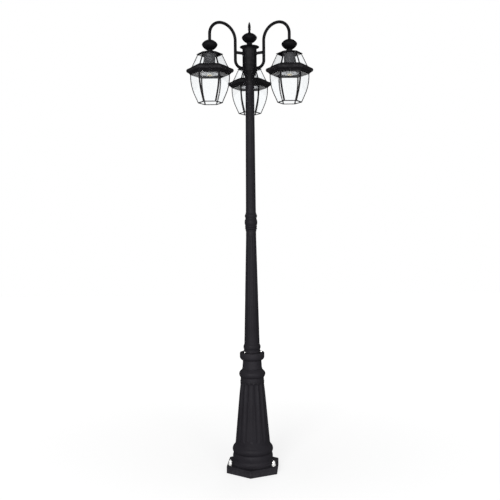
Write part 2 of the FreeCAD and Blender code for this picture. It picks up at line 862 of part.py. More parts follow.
def housing_top():
    """Underside of the socket housing's top plate, where the lock nut bears."""
    return size.roof_top - size.sheet_thickness * 2


def lantern_knob(side, azimuth):
    """Flattened ball over the roof; the gooseneck's end turns inside it."""
    body = lantern_body("knob", side, azimuth)
    gap = size.lantern_running_gap
    drill, bore = size.thread_radius + gap, size.arm_radius + gap
    middle = size.knob_height
    top = middle + size.knob_above
    turn_profile(
        body,
        (drill, middle - size.knob_below),
        *knob_surface(middle),
        (bore, top),
        (bore, size.arm_end_height - 0.5),
        (drill, size.arm_end_height - 0.5),
    )


def hexagon_sheet(body, height, half_flats, hole, thickness):
    """A level hexagonal plate with a round hole; its thickness hangs below the height."""
    plan = add_sketch(body, "XY_Plane", lift=height - thickness)
    add_hexagon(plan, 0, 0, half_flats * 2)
    add_circle(plan, 0, 0, hole)
    return prism(body, plan, thickness)


def roof(side, azimuth):
    """Low six-sided roof with a flat crown under the knob."""
    body = lantern_body("roof", side, azimuth)
    sheet, crown, eave = size.sheet_thickness, size.roof_crown, size.roof_eave
    top, low = size.roof_top, size.roof_eave_height
    hexagon_sheet(body, top, crown, size.thread_radius + size.lantern_running_gap, sheet)
    hexagon_ring(
        body,
        (crown - 1.5, top - sheet), (eave - 4.4, low), (eave, low), (eave, low + 1.2),
        (crown, top), (crown - 1.5, top),
    )


def cut_windows(body, flange):
    """Opens the six sides, leaving an angled rib of two flanges at every corner."""
    reach = size.brim_nose * 1.4
    apex = flange / HALF_SIDE
    plan = add_sketch(body, "XY_Plane")
    spread = (reach - apex) * HALF_SIDE
    add_outline(plan, (apex, 0), (reach, spread * -1), (reach, spread))
    repeat_around(body, HEXAGON, cut_through(body, plan))


def part_panes(body):
    """Splits a ring of glass into six panes by sawing along its corners."""
    reach, saw = size.brim_nose * 1.4, size.pane_saw
    plan = add_sketch(body, "XZ_Plane")
    add_outline(plan, (saw * -1, 1700), (saw, 1700), (saw, 2200), (saw * -1, 2200))
    repeat_around(body, HEXAGON, add_feature(body, "Pocket", plan, Length=reach))


def upper_strip(body, depth, thickness, top, bottom):
    """A sloping strip round the upper lantern, set a depth inside the outer surface."""
    run = (size.upper_frame_foot - size.upper_frame_top) / (size.upper_frame_crown - size.brim_top)
    slant = (1 + run * run).root()

    def place(inset, level):
        return size.upper_frame_foot - inset * slant - (level - size.brim_top) * run

    far = depth + thickness
    hexagon_ring(
        body,
        (place(depth, bottom), bottom), (place(depth, top), top),
        (place(far, top), top), (place(far, bottom), bottom),
    )


def upper_frame(side, azimuth):
    """Six sloping corner ribs between the roof and the brim."""
    body = lantern_body("upper_frame", side, azimuth)
    upper_strip(body, 0, size.frame_thickness, size.roof_eave_height, size.brim_top)
    cut_windows(body, size.upper_rib_flange)


def upper_glass(side, azimuth):
    """Six small sloping panes between the roof and the brim."""
    body = lantern_body("upper_glass", side, azimuth)
    depth = size.frame_thickness + size.glass_inset
    top = size.upper_frame_crown - 2.1
    upper_strip(body, depth, size.glass_thickness, top, size.brim_top)
    part_panes(body)


def brim(side, azimuth):
    """Broad moulded brim: a stepped top, a round nose and a ledge inside for the reflector."""
    body = lantern_body("brim", side, azimuth)
    low, lip = size.brim_bottom, size.brim_lip_height
    inside, ledge, nose = size.brim_inside, size.brim_ledge, size.brim_nose
    tip, tier = size.brim_nose_height, size.brim_tier
    hexagon_ring(
        body,
        (ledge, low - 2.5), (inside + 0.5, low - 2.5), (inside + 0.5, low), (size.cage_radius + 0.6, low),
        right_arc(nose - 7.8, tip - 10, 30),
        left_arc(nose, tip, size.brim_nose_below),
        left_arc(nose - 7.5, tip + 11, size.brim_nose_above),
        left_arc(tier + 1.4, lip, 24),
        (tier, size.brim_tier_height),
        (size.brim_shelf, size.brim_top), (size.brim_shelf - 7, size.brim_top),
        (size.brim_shelf - 7, size.brim_top - 2), (size.brim_shelf - 2, size.brim_top - 2),
        (inside, size.brim_tier_height - 4.5), (inside, size.reflector_seat), (ledge, size.reflector_seat),
    )


def cage_place(inset, level=None):
    """A point of the bowed cage, an inset inside its outer surface. Without a level it is
    the point where the bow runs out into a straight slope."""
    curve = size.cage_curve
    steep = size.cage_curve_drop / curve
    upright = (1 - steep * steep).root()
    bend = size.cage_radius - curve + (curve - inset) * upright
    bend_level = size.cage_curve_start - (curve - inset) * steep
    if level is None:
        return bend, bend_level
    return bend - (bend_level - level) * steep / upright, level


def cage_strip(body, depth, thickness, top, bottom):
    """A bowed strip round the lower lantern, set a depth inside the outer surface."""
    curve, start, wide = size.cage_curve, size.cage_curve_start, size.cage_radius
    far = depth + thickness
    hexagon_ring(
        body,
        (wide - depth, top),
        (wide - far, top),
        (wide - far, start),
        right_arc(*cage_place(far), curve - far),
        cage_place(far, bottom),
        cage_place(depth, bottom),
        cage_place(depth),
        left_arc(wide - depth, start, curve - depth),
    )


def lower_frame(side, azimuth):
    """Six bowed corner ribs between the brim and the bottom ring."""
    body = lantern_body("lower_frame", side, azimuth)
    cage_strip(body, 0, size.frame_thickness, size.brim_bottom, size.cage_bottom)
    cut_windows(body, size.lower_rib_flange)


def lower_glass(side, azimuth):
    """Six tall bowed panes behind the ribs of the cage."""
    body = lantern_body("lower_glass", side, azimuth)
    depth = size.frame_thickness + size.glass_inset
    cage_strip(body, depth, size.glass_thickness, size.brim_bottom, size.cage_bottom)
    part_panes(body)


def bottom_ring(side, azimuth):
    """Hexagonal ring that the ribs and panes stand on; the lantern is open below."""
    body = lantern_body("bottom_ring", side, azimuth)
    top, low = size.cage_bottom, size.cage_bottom - size.ring_height
    inside, outside = size.ring_inside, size.cage_foot
    seat = cage_place(0, top)[0] + 0.6
    hexagon_ring(
        body,
        (inside, low), (outside - 1, low), (outside + 0.5, low + 1.5), (seat, top), (inside, top),
    )


def reflector(side, azimuth):
    """Polished hexagonal sheet above the glass, with a flat middle round the lamp holder."""
    body = lantern_body("reflector", side, azimuth)
    seat, sheet = size.reflector_seat, size.reflector_thickness
    crown, edge = size.reflector_crown, size.brim_inside - 0.3
    top = seat + size.reflector_rise
    hexagon_sheet(body, top, crown, size.socket_radius + 0.3, sheet)
    hexagon_ring(
        body,
        (crown - 1, top - sheet), (size.brim_ledge - 0.5, seat), (edge, seat), (edge, seat + sheet),
        (crown, top), (crown - 1, top),
    )


def socket_housing(side, azimuth):
    """Drawn cup round the lamp holder, hung from the roof and standing on the reflector."""
    body = lantern_body("socket_housing", side, azimuth)
    sheet, wide = size.sheet_thickness, size.housing_radius
    drill = size.thread_radius + size.lantern_running_gap
    foot, top, shoulder = size.reflector_seat + size.reflector_rise, housing_top(), size.housing_shoulder
    turn_profile(
        body,
        (wide - sheet, foot), (wide, foot), (wide, shoulder),
        left_arc(wide - 11, top + sheet, 24),
        (drill, top + sheet), (drill, top), (wide - 11, top),
        right_arc(wide - sheet, shoulder - 1, 24),
    )


def lamp_holder(side, azimuth):
    """Lamp socket with its mouth downwards, seated on the reflector by a flange."""
    body = lantern_body("lamp_holder", side, azimuth)
    wide, bore, flange = size.socket_radius, size.socket_bore, size.socket_flange
    seat = size.reflector_seat + size.reflector_rise
    turn_profile(
        body,
        (bore, size.socket_mouth), (wide, size.socket_mouth), (wide, seat), (flange, seat),
        (flange, seat + 2), (wide, seat + 2), (wide, size.socket_top), (0, size.socket_top),
        (0, size.socket_mouth + size.socket_bore_depth), (bore, size.socket_mouth + size.socket_bore_depth),
    )


def build_base():
    foot_casting()
    anchor_washers()
    anchor_nuts()
    collar_set_screws()


def build_pole():
    lower_shaft()
    joining_sleeve()
    shaft_coupling()
    upper_shaft()
    head_hub()
    hub_cap()
    finial_knob()
    finial_spike()


def build_side(side, azimuth):
    """One gooseneck with its lantern."""
    pieces = (gooseneck, brace, nipple, lock_nut, lantern_knob, roof, upper_frame, upper_glass,
              brim, lower_frame, lower_glass, bottom_ring, reflector, socket_housing, lamp_holder)
    for piece in pieces:
        piece(side, azimuth)


def export_parts():
    """Recomputes, refuses anything broken, and writes one file for each sub-part."""
    doc.recompute()
    for thing in doc.Objects:
        if "Invalid" in thing.State or "Error" in thing.State:
            raise RuntimeError(f"{thing.Label}: {thing.State}")
    os.makedirs("parts", exist_ok=True)
    for body in parts:
        if body.Shape.isNull() or not body.Shape.isValid():
            raise RuntimeError(f"{body.Label} has no sound shape")
        body.Shape.exportStep(f"parts/{body.Label}.step")


build_base()
build_pole()
build_side("left", size.arm_left)
build_side("right", size.arm_right)
build_side("back", size.arm_back)
export_parts()
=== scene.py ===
import math

import bmesh
import bpy
from mathutils import Matrix, Vector


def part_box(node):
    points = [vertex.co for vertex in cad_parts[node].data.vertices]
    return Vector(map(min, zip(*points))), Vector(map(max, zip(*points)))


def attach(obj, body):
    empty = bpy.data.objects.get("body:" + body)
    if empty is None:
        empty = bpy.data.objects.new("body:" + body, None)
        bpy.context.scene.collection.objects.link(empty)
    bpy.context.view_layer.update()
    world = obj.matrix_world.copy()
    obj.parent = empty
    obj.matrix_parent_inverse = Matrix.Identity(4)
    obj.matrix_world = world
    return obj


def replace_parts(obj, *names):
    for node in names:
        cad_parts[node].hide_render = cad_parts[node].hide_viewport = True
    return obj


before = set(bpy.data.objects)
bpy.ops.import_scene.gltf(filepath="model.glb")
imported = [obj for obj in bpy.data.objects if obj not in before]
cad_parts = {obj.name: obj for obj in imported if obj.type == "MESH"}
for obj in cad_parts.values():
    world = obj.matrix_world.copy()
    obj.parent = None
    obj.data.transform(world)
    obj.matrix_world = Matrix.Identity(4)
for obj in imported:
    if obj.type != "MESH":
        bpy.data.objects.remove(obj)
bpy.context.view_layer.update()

# The lamp post is put together below in the order of its assembly: foot, pole, head, the three
# goosenecks and the three lanterns on them. Lengths are in metres, and the front faces -Y.
# Last come the floor, the surround, the lamps of the studio and the camera.

# The foot is one hollow casting in grey iron. It is shot clean, then sprayed with a fine
# textured near-black paint, which dulls on top and rubs thin along the sharpest edges.


def tree_helpers(tree):
    """Two helpers for a node tree: one adds a node with its inputs set, one joins sockets."""

    def node(kind, **settings):
        made = tree.nodes.new(kind)
        for key, value in settings.items():
            if hasattr(made, key):
                setattr(made, key, value)
            else:
                made.inputs[key.replace("_", " ")].default_value = value
        return made

    def wire(source, target):
        tree.links.new(source, target)

    return node, wire


def new_finish(name):
    """An empty node material, with the two helpers that fill it."""
    finish = bpy.data.materials.new(name)
    finish.use_nodes = True
    finish.node_tree.nodes.clear()
    return finish, *tree_helpers(finish.node_tree)


def mapped(node, wire, value, low_in, high_in, low_out=0.0, high_out=1.0):
    """A value carried from one range to another, and held between the ends of the second."""
    reach = node("ShaderNodeMapRange", From_Min=low_in, From_Max=high_in,
                 To_Min=low_out, To_Max=high_out)
    wire(value, reach.inputs["Value"])
    return reach.outputs["Result"]


def mottled(node, wire, size, low, high, detail=3.0, stretch=(1, 1, 1)):
    """Cloudy noise with spots of about a size in metres, mapped between two values."""
    place = node("ShaderNodeTexCoord")
    scale = node("ShaderNodeMapping", Scale=stretch)
    cloud = node("ShaderNodeTexNoise", Scale=1 / size, Detail=detail, Roughness=0.55)
    wire(place.outputs["Object"], scale.inputs["Vector"])
    wire(scale.outputs["Vector"], cloud.inputs["Vector"])
    return mapped(node, wire, cloud.outputs["Fac"], 0.3, 0.7, low, high)


def product(node, wire, first, second):
    """Two values multiplied."""
    times = node("ShaderNodeMath", operation="MULTIPLY")
    wire(first, times.inputs[0])
    wire(second, times.inputs[1])
    return times.outputs[0]


def blend_colours(node, wire, share, first, second):
    """A mix of two colours by a share; a colour may be written out or come from a node."""
    mix = node("ShaderNodeMix", data_type="RGBA")
    for socket, colour in ((mix.inputs[6], first), (mix.inputs[7], second)):
        if isinstance(colour, tuple):
            socket.default_value = (*colour, 1)
        else:
            wire(colour, socket)
    wire(share, mix.inputs[0])
    return mix.outputs[2]


def bumps(node, wire, *layers):
    """Layers of relief, each a height between 0 and 1 and its depth in metres."""
    before = None
    for height, depth in layers:
        bump = node("ShaderNodeBump", Strength=1.0, Distance=depth)
        wire(height, bump.inputs["Height"])
        if before:
            wire(before, bump.inputs["Normal"])
        before = bump.outputs["Normal"]
    return before


RUBBED_TONE = (0.075, 0.072, 0.077)
DUST_TONE = (0.06, 0.058, 0.057)


def textured_paint(name, deep, pale, grain, grain_depth, worn, satin=0.0075):
    """Paint in two near-black tones, with an even grain, rubbed edges and dust on top. Its
    share of satin sheen is the same from every side, so round forms darken to their edges."""
    finish, node, wire = new_finish(name)
    form = node("ShaderNodeNewGeometry")
    slope = node("ShaderNodeSeparateXYZ")
    wire(form.outputs["Normal"], slope.inputs["Vector"])

    cloud_size, scuff_size, dust_size, gloss_size = 0.11, 0.012, 0.035, 0.05
    blunt_edge, sharp_edge = 0.53, 0.62
    steep, level, most_dust = 0.55, 1.0, 0.14
    sharpness = mapped(node, wire, form.outputs["Pointiness"], blunt_edge, sharp_edge, 0, worn)
    rubbed = product(node, wire, sharpness, mottled(node, wire, scuff_size, 0, 1))
    settled = mapped(node, wire, slope.outputs["Z"], steep, level, 0, most_dust)
    dusted = product(node, wire, settled, mottled(node, wire, dust_size, 0.2, 1, detail=6))
    tone = blend_colours(node, wire, mottled(node, wire, cloud_size, 0, 1), deep, pale)
    tone = blend_colours(node, wire, rubbed, tone, RUBBED_TONE)
    tone = blend_colours(node, wire, dusted, tone, DUST_TONE)

    coarse_grain = grain * 14
    relief = bumps(node, wire, (mottled(node, wire, grain, 0, 1, detail=2), grain_depth),
                   (mottled(node, wire, coarse_grain, 0, 1), grain_depth))
    body = node("ShaderNodeBsdfPrincipled", Metallic=0.0, IOR=1.46, Specular_IOR_Level=0.0)
    wire(tone, body.inputs["Base Color"])
    wire(mottled(node, wire, gloss_size, 0.48, 0.62, detail=5), body.inputs["Roughness"])
    wire(relief, body.inputs["Normal"])
    sheen = node("ShaderNodeBsdfAnisotropic", Roughness=0.42, Color=(1, 1, 1, 1))
    wire(relief, sheen.inputs["Normal"])
    skin = node("ShaderNodeMixShader", Fac=satin)
    wire(body.outputs["BSDF"], skin.inputs[1])
    wire(sheen.outputs["BSDF"], skin.inputs[2])
    wire(skin.outputs["Shader"], node("ShaderNodeOutputMaterial").inputs["Surface"])
    return finish


def give(finish, *nodes):
    """Puts a finish on carried-over parts of the frame."""
    for name in nodes:
        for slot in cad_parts[name].material_slots:
            slot.material = finish


cast_paint = textured_paint("cast_iron_paint", deep=(0.0142, 0.0128, 0.0166),
                            pale=(0.0212, 0.0195, 0.0244), grain=0.0021, grain_depth=0.0003,
                            worn=0.55)
give(cast_paint, "foot_casting")

# Three fine half-round beads are cast in one with the foot and painted over. One runs round
# the cone above the ends of its flutes, and one each below and above the rounded shoulder.


def lathe(bm, profile, place=None, turns=64, flats=None, corner=1.0, start=0.0):
    """Turns (radius, height) points about the vertical. flats limits the radius to a hexagon
    of that half width, as the sides of a nut do; corner stretches the radius."""
    place = place or Matrix.Identity(4)
    rings = []
    for radius, height in profile:
        if radius == 0:
            rings.append([bm.verts.new(place @ Vector((0, 0, height)))])
            continue
        ring = []
        for step in range(turns):
            angle = start + step * math.tau / turns
            reach = radius * corner
            if flats:
                swing = (angle + math.pi / 6) % (math.pi / 3) - math.pi / 6
                reach = min(reach, flats / math.cos(swing))
            spot = Vector((reach * math.cos(angle), reach * math.sin(angle), height))
            ring.append(bm.verts.new(place @ spot))
        rings.append(ring)
    for below, above in zip(rings, rings[1:]):
        for step in range(turns):
            after = (step + 1) % turns
            corners = [below[step % len(below)], below[after % len(below)],
                       above[after % len(above)], above[step % len(above)]]
            distinct = list(dict.fromkeys(corners))
            if len(distinct) > 2:
                bm.faces.new(distinct)


def finished(bm, name, finish, body, smooth=40):
    """Ends a mesh: merges doubles, shades it, dresses it and sets it on its body."""
    bmesh.ops.remove_doubles(bm, verts=bm.verts, dist=1e-6)
    bmesh.ops.recalc_face_normals(bm, faces=bm.faces)
    mesh = bpy.data.meshes.new(name)
    bm.to_mesh(mesh)
    bm.free()
    piece = bpy.data.objects.new(name, mesh)
    bpy.context.collection.objects.link(piece)
    mesh.materials.append(finish)
    mesh.shade_smooth()
    mesh.set_sharp_from_angle(angle=math.radians(smooth))
    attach(piece, body)
    return piece


def round_bead(bm, radius, height, proud):
    """A half-round bead on a casting of that radius, its back sunk a little into it."""
    sunk, steps = 0.0012, 8
    arc = []
    for step in range(steps + 1):
        swing = math.pi * step / steps
        arc.append((radius - sunk + (proud + sunk) * math.sin(swing),
                    height - proud * math.cos(swing)))
    lathe(bm, arc, turns=96)


beads = bmesh.new()
round_bead(beads, radius=0.0607, height=0.458, proud=0.0013)
round_bead(beads, radius=0.0592, height=0.4775, proud=0.0015)
round_bead(beads, radius=0.0508, height=0.5225, proud=0.0013)
finished(beads, "foot_beads", cast_paint, "base")

# Three bolts set in the concrete come up through the foot plate. Each holds it with a plain
# washer and a domed nut, both bright plated steel.


def bright_metal(name, colour, smooth, dull, streak=(1, 1, 1), spot=0.004):
    """Bare or plated metal with faint clouding; streak stretches it into brush lines."""
    finish, node, wire = new_finish(name)
    dimmed = tuple(part * 0.86 for part in colour)
    gloss_spot, ripple = spot * 1.7, 0.00002
    metal = node("ShaderNodeBsdfPrincipled", Metallic=1.0)
    clouds = mottled(node, wire, spot, 0, 1, detail=4, stretch=streak)
    wire(blend_colours(node, wire, clouds, dimmed, colour), metal.inputs["Base Color"])
    wire(mottled(node, wire, gloss_spot, smooth, dull, stretch=streak), metal.inputs["Roughness"])
    wire(bumps(node, wire, (clouds, ripple)), metal.inputs["Normal"])
    wire(metal.outputs["BSDF"], node("ShaderNodeOutputMaterial").inputs["Surface"])
    return finish


def dome_over(radius, foot, steps=8):
    """Profile points of a dome, from just above its foot to its top."""
    points = []
    for step in range(1, steps + 1):
        rise = math.pi / 2 * step / steps
        points.append((radius * math.cos(rise) if step < steps else 0,
                       foot + radius * math.sin(rise)))
    return points


plated = bright_metal("bright_plating", (0.86, 0.86, 0.845), smooth=0.14, dull=0.3)
give(plated, "anchor_washers", "anchor_nuts", "collar_set_screws")

ANCHOR_CIRCLE = 0.125
NUT_AZIMUTHS = (85, 205, 325)
NUT_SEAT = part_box("anchor_washers")[1].z
NUT_BORE = 0.0052
NUT_FACE = 0.0096
NUT_HALF = 0.0095
NUT_CORNER = 0.01097
NUT_CHAMFER = 0.0009
NUT_SHOULDER = NUT_SEAT + 0.0096
DOME = 0.009
DOME_FOOT = NUT_SEAT + 0.017

nut_profile = [(NUT_BORE, NUT_SEAT), (NUT_FACE, NUT_SEAT),
               (NUT_CORNER, NUT_SEAT + NUT_CHAMFER), (NUT_CORNER, NUT_SHOULDER),
               (0.0104, NUT_SHOULDER + NUT_CHAMFER), (0.0092, NUT_SHOULDER + 0.0014),
               (DOME, NUT_SHOULDER + 0.002), (DOME, DOME_FOOT), *dome_over(DOME, DOME_FOOT)]
nuts = bmesh.new()
for azimuth in NUT_AZIMUTHS:
    about = Matrix.Rotation(math.radians(azimuth), 4, "Z")
    lathe(nuts, nut_profile, place=about @ Matrix.Translation((ANCHOR_CIRCLE, 0, 0)), turns=72,
          flats=NUT_HALF)
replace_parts(finished(nuts, "domed_nuts", plated, "base", smooth=25),
            "anchor_nuts")

# Three round-headed screws of the same bright steel, each with a small socket in its head, are
# turned in through the lip of the collar. They clamp the pole, which turns while they are loose.


def middle(name):
    """The middle of a carried-over part."""
    low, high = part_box(name)
    return (low + high) / 2


SCREW_HEIGHT = middle("collar_set_screws").z
SCREW_AZIMUTHS = (102, 222, 342)
SHANK, HEAD, SOCKET = 0.003, 0.0042, 0.0022
SHANK_END, HEAD_SEAT, HEAD_SIDE, HEAD_END = 0.0392, 0.0436, 0.0498, 0.0525
SOCKET_DEEP, SOCKET_MIDDLE = 0.0502, 0.0498

screw_profile = [(SHANK, SHANK_END), (SHANK, HEAD_SEAT), (HEAD, HEAD_SEAT), (HEAD, HEAD_SIDE),
                 (0.0040, 0.0509), (0.0035, 0.0518), (0.0027, 0.0524), (0.0023, HEAD_END),
                 (SOCKET, 0.0522), (SOCKET, SOCKET_DEEP), (0, SOCKET_MIDDLE)]
screws = bmesh.new()
for azimuth in SCREW_AZIMUTHS:
    about = Matrix.Rotation(math.radians(azimuth), 4, "Z")
    sideways = Matrix.Translation((0, 0, SCREW_HEIGHT)) @ Matrix.Rotation(math.pi / 2, 4, "Y")
    lathe(screws, screw_profile, place=about @ sideways, turns=48)
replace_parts(finished(screws, "socket_screws", plated, "base", smooth=30),
            "collar_set_screws")

# The pole stands in the collar. It is cast aluminium in two fluted lengths, painted, with a
# turned ring at the joint, where a zinc-plated steel sleeve inside holds the two in line.
pole_paint = textured_paint("pole_paint", deep=(0.0116, 0.0105, 0.0137),
                            pale=(0.0172, 0.0159, 0.02), grain=0.0016, grain_depth=0.00022,
                            worn=0.5, satin=0.0068)
give(pole_paint, "lower_shaft", "shaft_coupling", "upper_shaft")
zinc = bright_metal("zinc_plating", (0.6, 0.6, 0.59), smooth=0.28, dull=0.45,
                    streak=(1, 1, 0.1))
give(zinc, "joining_sleeve")

# The head is a hollow cast hub on the top of the pole, where the wires are joined. Its turned
# lid plugs into it, the flattened ball screws into the lid by a stem, and the spike plugs into
# the ball. All four are painted in a deeper black.
head_paint = textured_paint("head_paint", deep=(0.0038, 0.0034, 0.0044),
                            pale=(0.0062, 0.0057, 0.0072), grain=0.0014, grain_depth=0.00018,
                            worn=0.4, satin=0.0052)
give(head_paint, "head_hub", "hub_cap", "finial_knob", "finial_spike")

# Three goosenecks leave the hub, one towards each lantern. Each is a steel tube bent cold and
# welded to the hub, with a short brace above it. The welds show as small rippled fillets.
SIDES = {"left": 210, "right": 330, "back": 90}
BOSS_FACE = 0.040
RISER_REACH = 0.082
ARM_LEVEL, ARM_RADIUS = 2.045, 0.0075
BRACE_LEVEL, BRACE_RADIUS = 2.119, 0.0073
WELD_PROUD, WELD_TIGHT = 0.0004, 0.0002
WELD_AT_HUB, WELD_AT_RISER = 0.0014, 0.0013
SADDLE = ARM_RADIUS + WELD_TIGHT


def rippled_weld(bm, path, thick, place, ripples):
    """A weld bead along a closed path of points, swelling and shrinking in small ripples."""
    rings = []
    count, sides = len(path), 8
    for step, spot in enumerate(path):
        along = (path[(step + 1) % count] - path[step - 1]).normalized()
        side = along.orthogonal().normalized()
        up = along.cross(side)
        swell = thick * (1 + 0.12 * math.sin(math.tau * ripples * step / count))
        ring = []
        for turn in range(sides):
            angle = math.tau * turn / sides
            outward = side * swell * math.cos(angle) + up * swell * math.sin(angle)
            ring.append(bm.verts.new(place @ (spot + outward)))
        rings.append(ring)
    for step, ring in enumerate(rings):
        after = rings[(step + 1) % count]
        shift = min(range(sides), key=lambda turn: (after[turn].co - ring[0].co).length)
        for turn in range(sides):
            bm.faces.new([ring[turn], ring[(turn + 1) % sides],
                          after[(turn + 1 + shift) % sides], after[(turn + shift) % sides]])


def ring_path(reach, level, radius, saddle=0.0, count=120):
    """An upright circle at a reach from the pole; saddle is the radius of a riser it hugs."""
    path = []
    for step in range(count):
        angle = math.tau * step / count
        across, up = radius * math.cos(angle), radius * math.sin(angle)
        back = saddle - math.sqrt(max(saddle**2 - across**2, 0)) if saddle else 0
        path.append(Vector((reach + back, across, level + up)))
    return path


for side, azimuth in SIDES.items():
    give(head_paint, f"arm_{side}", f"brace_{side}")
    about = Matrix.Rotation(math.radians(azimuth), 4, "Z")
    at_arm = ring_path(BOSS_FACE, ARM_LEVEL, ARM_RADIUS + WELD_PROUD)
    at_brace = ring_path(BOSS_FACE, BRACE_LEVEL, BRACE_RADIUS + WELD_PROUD)
    at_riser = ring_path(RISER_REACH - SADDLE, BRACE_LEVEL, BRACE_RADIUS - WELD_TIGHT,
                         saddle=SADDLE)
    welds = bmesh.new()
    rippled_weld(welds, at_arm, WELD_AT_HUB, about, ripples=30)
    rippled_weld(welds, at_brace, WELD_AT_HUB, about, ripples=30)
    rippled_weld(welds, at_riser, WELD_AT_RISER, about, ripples=28)
    finished(welds, f"arm_welds_{side}", head_paint, "pole", smooth=80)

# A threaded steel tube runs from the end of each gooseneck down through the ball and the roof
# of its lantern. A lock nut under the roof clamps the lantern up. Both are zinc-plated.
for side in SIDES:
    give(zinc, f"nipple_{side}", f"lock_nut_{side}")

# Each lantern hangs under a turned ball. Its roof, brim, ribs and bottom ring are folded from
# brass sheet, soldered at the corners and painted like the head. A wire is rolled into the
# eave of the roof, and the roof's mitred corners are run with solder.
LANTERN_REACH = middle("roof_back").y
CORNER = 1 / math.cos(math.pi / 6)
EAVE_HALF, EAVE_LEVEL, EAVE_WIRE = 0.0552, 2.0934, 0.0013
SOLDER_LINE = ((0.0556, 2.0945), (0.045, 2.0985), (0.030, 2.1036), (0.0185, 2.1072))
SOLDER_THICK = 0.0009


def lantern_place(azimuth):
    """Where a lantern hangs: its own x axis points away from the pole."""
    return (Matrix.Rotation(math.radians(azimuth), 4, "Z")
            @ Matrix.Translation((LANTERN_REACH, 0, 0)))


def hexagon_wire(bm, half, level, thick, place):
    """A round wire carried round a hexagon of that half width."""
    steps = 10
    section = []
    for step in range(steps + 1):
        angle = math.tau * (step % steps) / steps
        section.append((half + thick * math.cos(angle), level + thick * math.sin(angle)))
    lathe(bm, section, place=place, turns=6, corner=CORNER, start=math.pi / 6)


def solder_run(bm, line, thick, place):
    """A thin fillet laid along a line of (radius to the flats, height) points at each corner."""
    steps, wide = 6, thick * 0.6
    for sixth in range(6):
        turn = place @ Matrix.Rotation(math.pi / 6 + sixth * math.pi / 3, 4, "Z")
        rings = []
        for radius, height in line:
            ring = []
            for step in range(steps):
                angle = math.tau * step / steps
                spot = Vector((radius * CORNER + wide * math.cos(angle),
                               thick * math.sin(angle), height))
                ring.append(bm.verts.new(turn @ spot))
            rings.append(ring)
        for below, above in zip(rings, rings[1:]):
            for step in range(steps):
                after = (step + 1) % steps
                bm.faces.new([below[step], below[after], above[after], above[step]])


for side, azimuth in SIDES.items():
    give(head_paint, f"knob_{side}", f"roof_{side}", f"upper_frame_{side}", f"brim_{side}",
         f"lower_frame_{side}", f"bottom_ring_{side}")
    hung = lantern_place(azimuth)
    eave = bmesh.new()
    hexagon_wire(eave, EAVE_HALF, EAVE_LEVEL, EAVE_WIRE, hung)
    solder_run(eave, SOLDER_LINE, SOLDER_THICK, hung)
    finished(eave, f"eave_wire_{side}", head_paint, f"lantern_{side}")

# Six short flat panes stand above the brim and six tall ones, bowed over a mould, hang below.
# They are clear drawn sheet, held in the frames by their edges, and they reflect only a little.


def clear_glass(name, tint, haze):
    """Clear sheet with a faint waviness, which lets the light through to what lies behind."""
    finish, node, wire = new_finish(name)
    haze_size, wave_size, wave_depth = 0.06, 0.05, 0.00012
    sheet = node("ShaderNodeBsdfPrincipled", Metallic=0.0, IOR=1.27, Transmission_Weight=1.0,
                 Base_Color=(*tint, 1))
    waves = mottled(node, wire, wave_size, 0, 1, detail=1)
    wire(mottled(node, wire, haze_size, 0.0, haze), sheet.inputs["Roughness"])
    wire(bumps(node, wire, (waves, wave_depth)), sheet.inputs["Normal"])
    passing = node("ShaderNodeBsdfTransparent", Color=(0.95, 0.97, 0.98, 1))
    rays = node("ShaderNodeLightPath")
    either = node("ShaderNodeMixShader")
    wire(rays.outputs["Is Shadow Ray"], either.inputs["Fac"])
    wire(sheet.outputs["BSDF"], either.inputs[1])
    wire(passing.outputs["BSDF"], either.inputs[2])
    wire(either.outputs["Shader"], node("ShaderNodeOutputMaterial").inputs["Surface"])
    return finish


pane_glass = clear_glass("pane_glass", tint=(0.982, 0.991, 0.997), haze=0.02)
for side in SIDES:
    give(pane_glass, f"upper_glass_{side}", f"lower_glass_{side}")

# Under each brim lies a reflector of hammered aluminium sheet. Its flat middle is left
# bright; the slope round it is painted like the rest. The lamp holder passes through it.
BRIGHT_END, PAINT_START = 0.0448, 0.0456


